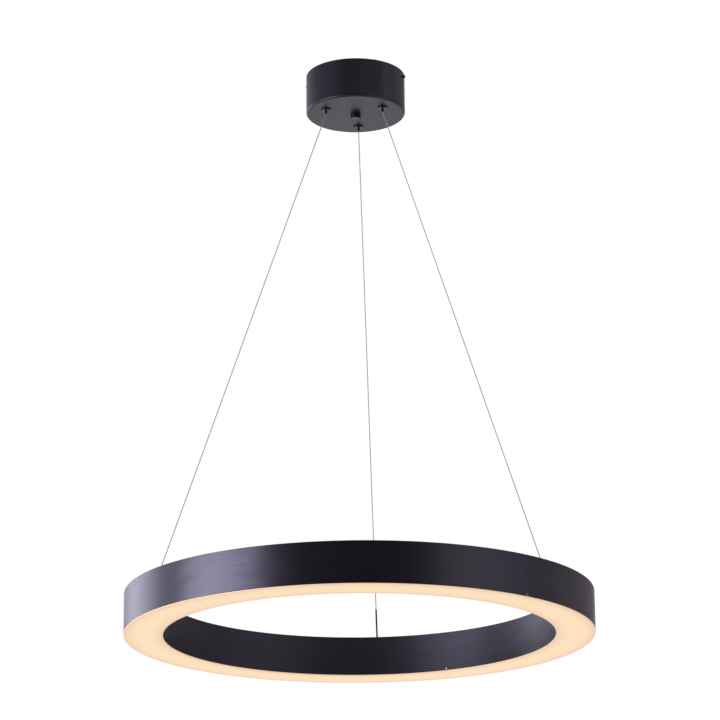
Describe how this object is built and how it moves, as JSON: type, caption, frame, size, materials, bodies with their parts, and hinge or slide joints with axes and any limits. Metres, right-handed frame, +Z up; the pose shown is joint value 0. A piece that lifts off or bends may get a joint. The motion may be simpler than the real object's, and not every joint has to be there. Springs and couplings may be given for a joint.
{
  "type": "ring pendant light",
  "caption": "Black ring pendant light: round ceiling canopy, thin steel wires in self-locking grippers, channel ring with a downward opal diffuser.",
  "frame": {"origin": "centre of the canopy on the ceiling plane, at the middle of the bracket's upper face", "axes": "+Z up to the ceiling, +X along the ceiling bracket and its slots, +Y square to it towards the driver; the first wire leaves at 100 degrees from +X"},
  "size_m": [0.6, 0.6004, 0.7694],
  "materials": {
    "canopy_paint": "satin black powder coat",
    "ring_paint": "satin black powder coat",
    "opal_acrylic": "cream opal, satin",
    "zinc_steel": "zinc plated",
    "black_screw": "black oxide",
    "bright_screw": "nickel plated",
    "driver_plastic": "moulded, fine texture",
    "block_polyamide": "moulded natural polyamide",
    "brass_bar": "plain",
    "lead_brown": "soft insulation",
    "lead_earth": "soft insulation",
    "lead_black": "soft insulation",
    "black_metal": "black anodised, fine turned",
    "turned_steel": "fine turned",
    "spring_steel": "drawn",
    "wire_steel": "stranded, bright",
    "board_white": "white solder mask",
    "led_phosphor": "silicone over phosphor",
    "socket_white": "moulded"
  },
  "bodies": {
    "canopy": {"canopy_cover": "canopy_paint", "ceiling_bracket": "zinc_steel", "side_screws": "black_screw", "driver_case": "driver_plastic", "driver_ends": "driver_plastic", "driver_screws": "bright_screw", "terminal_block": "block_polyamide", "terminal_clamps": "brass_bar", "terminal_screws": "bright_screw", "block_screws": "bright_screw", "earth_lug": "bright_screw", "earth_screw": "bright_screw", "mains_leads": "lead_brown", "earth_lead": "lead_earth", "feed_connector": "turned_steel", "feed_lead": "lead_black", "gripper_bodies": "black_metal", "gripper_nuts": "zinc_steel", "gripper_plugs": "turned_steel", "wire_tails": "wire_steel", "centre_cap": "black_metal", "centre_cap_nut": "zinc_steel", "gripper_spring_1": "spring_steel", "gripper_spring_2": "spring_steel", "gripper_spring_3": "spring_steel", "suspension_wire_1": "wire_steel", "suspension_wire_2": "wire_steel", "suspension_wire_3": "wire_steel", "feed_sleeve": "lead_black"},
    "ring": {"ring_housing": "ring_paint", "diffuser": "opal_acrylic", "outer_edge_screws": "bright_screw", "inner_edge_screws": "bright_screw", "hanger_bushes": "black_metal", "wire_stops": "turned_steel", "hanger_plates": "zinc_steel", "hanger_nuts": "zinc_steel", "led_board_1": "board_white", "led_board_2": "board_white", "led_board_3": "board_white", "led_board_4": "board_white", "led_board_5": "board_white", "led_board_6": "board_white", "led_chips": "led_phosphor", "board_sockets": "socket_white", "board_links": "lead_black", "ring_feed_lead": "lead_black"},
    "release_1": {"gripper_nozzle_1": "black_metal", "gripper_jaws_1": "turned_steel", "gripper_follower_1": "turned_steel"},
    "release_2": {"gripper_nozzle_2": "black_metal", "gripper_jaws_2": "turned_steel", "gripper_follower_2": "turned_steel"},
    "release_3": {"gripper_nozzle_3": "black_metal", "gripper_jaws_3": "turned_steel", "gripper_follower_3": "turned_steel"}
  },
  "joints": [
    {"name": "ring_height", "type": "slide", "parent": "canopy", "child": "ring", "axis": [0, 0, 1], "range_m": [0, 0.4], "deforming": ["suspension_wire_1", "suspension_wire_2", "suspension_wire_3", "feed_sleeve"]},
    {"name": "release_1_press", "type": "slide", "parent": "canopy", "child": "release_1", "axis": [0, 0, 1], "range_m": [0, 0.0025], "stiffness_N_per_m": 500, "springref_m": -0.004, "deforming": ["gripper_spring_1"]},
    {"name": "release_2_press", "type": "slide", "parent": "canopy", "child": "release_2", "axis": [0, 0, 1], "range_m": [0, 0.0025], "stiffness_N_per_m": 500, "springref_m": -0.004, "deforming": ["gripper_spring_2"]},
    {"name": "release_3_press", "type": "slide", "parent": "canopy", "child": "release_3", "axis": [0, 0, 1], "range_m": [0, 0.0025], "stiffness_N_per_m": 500, "springref_m": -0.004, "deforming": ["gripper_spring_3"]}
  ]
}
